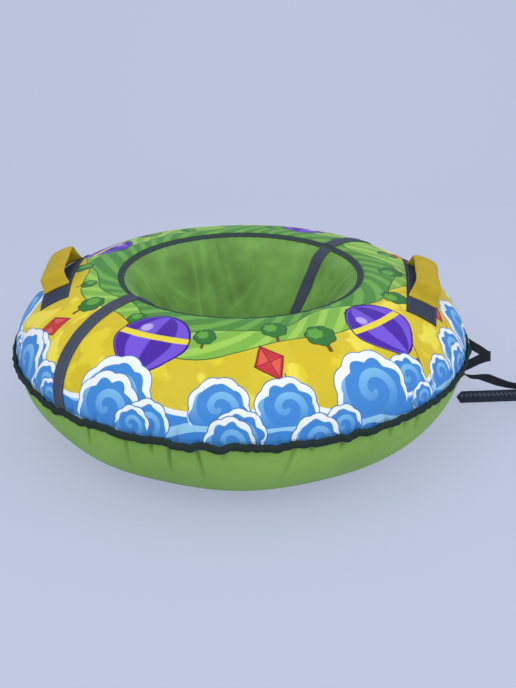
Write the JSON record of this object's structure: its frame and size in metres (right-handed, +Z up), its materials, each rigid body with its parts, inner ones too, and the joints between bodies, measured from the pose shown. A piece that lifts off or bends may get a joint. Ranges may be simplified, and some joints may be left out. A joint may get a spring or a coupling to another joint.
{
  "type": "snow tube",
  "caption": "Child's snow tube: sewn round cover over a hidden inner tube, with a sunken seat, grip handles, a tow loop and a tow strap.",
  "frame": {"origin": "on the ground under the middle of the round tube, on the flat underside", "axes": "+Z up, -Y to the front of the tube, +X to its right with the tow strap"},
  "size_m": [1.2279, 0.864, 0.2925],
  "materials": {
    "printed_fabric": "smooth coated polyester with a printed pattern",
    "lime_fabric": "glossy coated fabric, gathered at the rim",
    "seat_fabric": "coated fabric with light folds",
    "dark_tape": "ribbed polyester tape",
    "slate_webbing": "woven polyester webbing",
    "black_webbing": "woven polyester webbing",
    "mustard_fabric": "padded fabric sleeve with stitching",
    "tube_rubber": "matt butyl rubber",
    "valve_brass": "bare",
    "valve_cap_plastic": "moulded",
    "zip_tape": "woven tape",
    "zip_coil": "moulded nylon coil",
    "zip_metal": "satin"
  },
  "bodies": {
    "tube": {"bottom_cover": "lime_fabric", "handle_left_base": "slate_webbing", "handle_left_front_tab": "mustard_fabric", "handle_left_rear_tab": "mustard_fabric", "handle_right_base": "slate_webbing", "handle_right_front_tab": "mustard_fabric", "handle_right_rear_tab": "mustard_fabric", "inner_tube": "tube_rubber", "rim_binding": "dark_tape", "seat_floor": "seat_fabric", "seat_piping": "dark_tape", "seat_wall": "seat_fabric", "strap_left": "slate_webbing", "strap_right": "slate_webbing", "strap_seat": "slate_webbing", "top_cover": "printed_fabric", "tow_strap": "black_webbing", "tow_strap_end": "black_webbing", "valve_core": "valve_brass", "valve_stem": "tube_rubber", "zip_coil_lower": "zip_coil", "zip_coil_upper": "zip_coil", "zip_stop_closed": "zip_metal", "zip_stop_open": "zip_metal", "zip_tape_lower": "zip_tape", "zip_tape_upper": "zip_tape"},
    "handle_left_grip": {"handle_left_grip": "mustard_fabric", "handle_left_webbing": "slate_webbing"},
    "handle_right_grip": {"handle_right_grip": "mustard_fabric", "handle_right_webbing": "slate_webbing"},
    "tow_loop": {"tow_loop": "black_webbing"},
    "zip_slider": {"zip_slider": "zip_metal"},
    "zip_pull": {"zip_pull": "zip_metal"},
    "valve_cap": {"valve_cap": "valve_cap_plastic"}
  },
  "joints": [
    {"name": "handle_left_swing", "type": "hinge", "parent": "tube", "child": "handle_left_grip", "pos_m": [-0.33946, -0.02314, 0.25647], "axis": [0.068, -0.9977, 0], "range_deg": [-38, 38]},
    {"name": "handle_right_swing", "type": "hinge", "parent": "tube", "child": "handle_right_grip", "pos_m": [0.33065, -0.05533, 0.25854], "axis": [0.165, 0.9863, 0], "range_deg": [-38, 38]},
    {"name": "tow_loop_swing", "type": "hinge", "parent": "tube", "child": "tow_loop", "pos_m": [0.41711, -0.12276, 0.153], "axis": [-0.2823, -0.9593, 0], "range_deg": [-25, 85]},
    {"name": "zip_slider_travel", "type": "hinge", "parent": "tube", "child": "zip_slider", "pos_m": [0, 0, 0.2], "axis": [0, 0, 1], "range_deg": [-78, 0]},
    {"name": "zip_pull_flip", "type": "hinge", "parent": "zip_slider", "child": "zip_pull", "pos_m": [0.11162, -0.11742, 0.20416], "axis": [-0.3265, 0.3265, -0.887], "range_deg": [0, 110]},
    {"name": "valve_cap_off", "type": "slide", "parent": "tube", "child": "valve_cap", "axis": [-0.0444, 0.848, -0.5281], "range_m": [0, 0.012]}
  ]
}
